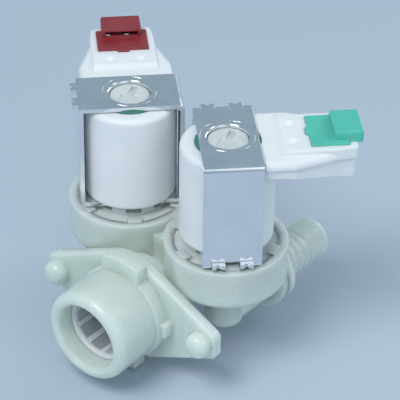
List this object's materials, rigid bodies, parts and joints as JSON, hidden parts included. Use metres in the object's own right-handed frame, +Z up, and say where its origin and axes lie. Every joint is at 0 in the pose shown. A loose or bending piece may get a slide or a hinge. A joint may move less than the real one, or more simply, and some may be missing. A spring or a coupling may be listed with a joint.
{
  "type": "washing machine inlet valve",
  "caption": "Water inlet valve for a washing machine: a flanged spout feeds solenoid valves with ridged hose tails and coloured plug keys.",
  "frame": {"origin": "centre of the flange's front face, on the axis of the inlet spout and midway between the pegs", "axes": "-Y out of the inlet spout, +Z up along the solenoids, +X from the red solenoid to the green one"},
  "size_m": [0.092, 0.081, 0.0732],
  "materials": {
    "natural_plastic": "milky translucent moulded polyamide, satin",
    "white_plastic": "white moulded plastic, soft gloss",
    "clear_plastic": "translucent moulded plastic",
    "bobbin_plastic": "green moulded plastic",
    "red_plastic": "brick red moulded plastic",
    "green_plastic": "mint green moulded plastic",
    "zinc_steel": "bright zinc plated steel sheet",
    "plunger_steel": "turned stainless steel",
    "spring_steel": "drawn stainless wire",
    "copper_wire": "enamelled copper wire",
    "terminal_brass": "tinned brass strip",
    "rubber": "black rubber"
  },
  "bodies": {
    "valve": {"valve_body": "natural_plastic", "inlet_strainer": "white_plastic", "flow_washer": "rubber", "red_outlet_tail": "natural_plastic", "red_diaphragm": "rubber", "red_guide_tube": "clear_plastic", "red_armature_spring": "spring_steel", "red_bobbin": "bobbin_plastic", "red_winding": "copper_wire", "red_coil_housing": "white_plastic", "red_coil_terminals": "terminal_brass", "red_connector_key": "red_plastic", "red_yoke_top": "zinc_steel", "red_yoke_base": "zinc_steel", "green_outlet_tail": "natural_plastic", "green_diaphragm": "rubber", "green_guide_tube": "clear_plastic", "green_armature_spring": "spring_steel", "green_bobbin": "bobbin_plastic", "green_winding": "copper_wire", "green_coil_housing": "white_plastic", "green_coil_terminals": "terminal_brass", "green_connector_key": "green_plastic", "green_yoke_top": "zinc_steel", "green_yoke_base": "zinc_steel"},
    "red_plunger": {"red_armature": "plunger_steel", "red_armature_seal": "rubber"},
    "red_pilot": {"red_diaphragm_insert": "white_plastic"},
    "green_plunger": {"green_armature": "plunger_steel", "green_armature_seal": "rubber"},
    "green_pilot": {"green_diaphragm_insert": "white_plastic"}
  },
  "joints": [
    {"name": "red_armature_lift", "type": "slide", "parent": "valve", "child": "red_plunger", "axis": [0, 0, 1], "range_m": [0, 0.0025], "stiffness_N_per_m": 150, "springref_m": -0.004, "deforming": ["red_armature_spring"]},
    {"name": "red_diaphragm_lift", "type": "slide", "parent": "valve", "child": "red_pilot", "axis": [0, 0, 1], "range_m": [0, 0.002], "deforming": ["red_diaphragm"]},
    {"name": "green_armature_lift", "type": "slide", "parent": "valve", "child": "green_plunger", "axis": [0, 0, 1], "range_m": [0, 0.0025], "stiffness_N_per_m": 150, "springref_m": -0.004, "deforming": ["green_armature_spring"]},
    {"name": "green_diaphragm_lift", "type": "slide", "parent": "valve", "child": "green_pilot", "axis": [0, 0, 1], "range_m": [0, 0.002], "deforming": ["green_diaphragm"]}
  ],
  "couplings": [
    {"joint": "red_diaphragm_lift", "follows": "red_armature_lift", "ratio": 0.8},
    {"joint": "green_diaphragm_lift", "follows": "green_armature_lift", "ratio": 0.8}
  ]
}
